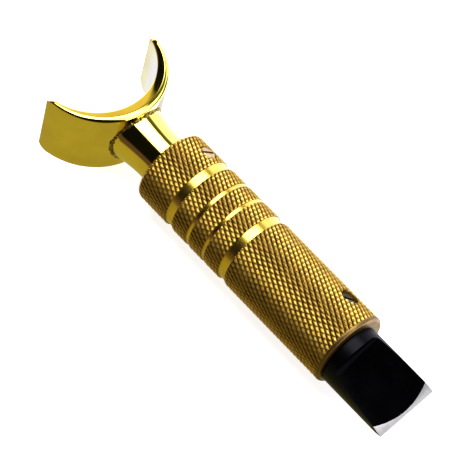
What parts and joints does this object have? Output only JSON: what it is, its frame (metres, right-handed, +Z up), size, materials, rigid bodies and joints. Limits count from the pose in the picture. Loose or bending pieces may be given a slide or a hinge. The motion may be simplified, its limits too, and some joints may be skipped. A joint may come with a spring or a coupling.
{
  "type": "swivel knife",
  "caption": "Swivel knife for carving leather: a knurled barrel holds a hollow-ground blade, and a finger saddle swivels on a ball-bearing spindle with adjustable height.",
  "frame": {"origin": "centre of the bounding box at its bottom, directly under the knife's long axis, on the plane that the knife lies on", "axes": "+X along the barrel from the finger saddle to the blade's edge, +Z up from the plane that the knife lies on, +Y to the side"},
  "size_m": [0.0779, 0.0244, 0.0154],
  "materials": {
    "knurled_brass": "aged diamond knurl with polished grooves",
    "polished_brass": "polished",
    "braze": "rough, tarnished bead",
    "sleeve_steel": "fine turned",
    "ground_steel": "ground",
    "bearing_steel": "polished",
    "ball_steel": "mirror polished",
    "spring_steel": "phosphated",
    "cage_brass": "satin",
    "screw_brass": "satin, worn bright",
    "screw_steel": "blackened",
    "black_steel": "black oxide with bright honed faces"
  },
  "bodies": {
    "barrel": {"barrel": "knurled_brass"},
    "quill": {"bearing_sleeve": "sleeve_steel", "upper_outer_race": "bearing_steel", "lower_outer_race": "bearing_steel", "outer_spacer": "sleeve_steel", "sleeve_snap_ring": "spring_steel"},
    "yoke": {"yoke_saddle": "polished_brass", "yoke_stem": "polished_brass", "braze_bead": "braze", "spindle": "ground_steel", "thrust_collar": "sleeve_steel", "upper_inner_race": "bearing_steel", "inner_spacer": "sleeve_steel", "lower_inner_race": "bearing_steel", "spindle_clip": "spring_steel"},
    "upper_ball_set": {"upper_balls": "ball_steel", "upper_cage": "cage_brass"},
    "lower_ball_set": {"lower_balls": "ball_steel", "lower_cage": "cage_brass"},
    "height_pad": {"height_pad": "cage_brass"},
    "height_screw": {"height_screw": "screw_brass"},
    "blade_screw": {"blade_screw": "screw_steel"},
    "blade": {"blade": "black_steel"}
  },
  "joints": [
    {"name": "height_adjust", "type": "slide", "parent": "barrel", "child": "quill", "axis": [-1, 0, 0], "range_m": [0, 0.0085]},
    {"name": "yoke_swivel", "type": "hinge", "parent": "quill", "child": "yoke", "pos_m": [-0.01975, 0, 0.00771], "axis": [1, 0, 0], "continuous": true},
    {"name": "upper_balls_orbit", "type": "hinge", "parent": "quill", "child": "upper_ball_set", "pos_m": [-0.01975, 0, 0.00771], "axis": [1, 0, 0], "continuous": true},
    {"name": "lower_balls_orbit", "type": "hinge", "parent": "quill", "child": "lower_ball_set", "pos_m": [-0.01975, 0, 0.00771], "axis": [1, 0, 0], "continuous": true},
    {"name": "height_pad_lift", "type": "slide", "parent": "barrel", "child": "height_pad", "axis": [0, 0.6157, 0.788], "range_m": [0, 0.00025]},
    {"name": "height_screw_turn", "type": "hinge", "parent": "height_pad", "child": "height_screw", "pos_m": [-0.01545, 0, 0.00771], "axis": [0, 0.6157, 0.788], "range_deg": [0, 180]},
    {"name": "blade_screw_turn", "type": "hinge", "parent": "barrel", "child": "blade_screw", "pos_m": [0.0193, 0, 0.00771], "axis": [0, 0.6157, 0.788], "range_deg": [0, 360]},
    {"name": "blade_draw", "type": "slide", "parent": "barrel", "child": "blade", "axis": [1, 0, 0], "range_m": [0, 0.018]}
  ],
  "couplings": [
    {"joint": "upper_balls_orbit", "follows": "yoke_swivel", "ratio": 0.4},
    {"joint": "lower_balls_orbit", "follows": "yoke_swivel", "ratio": 0.4},
    {"joint": "height_screw_turn", "follows": "height_pad_lift", "rad_per_m": 12566}
  ]
}
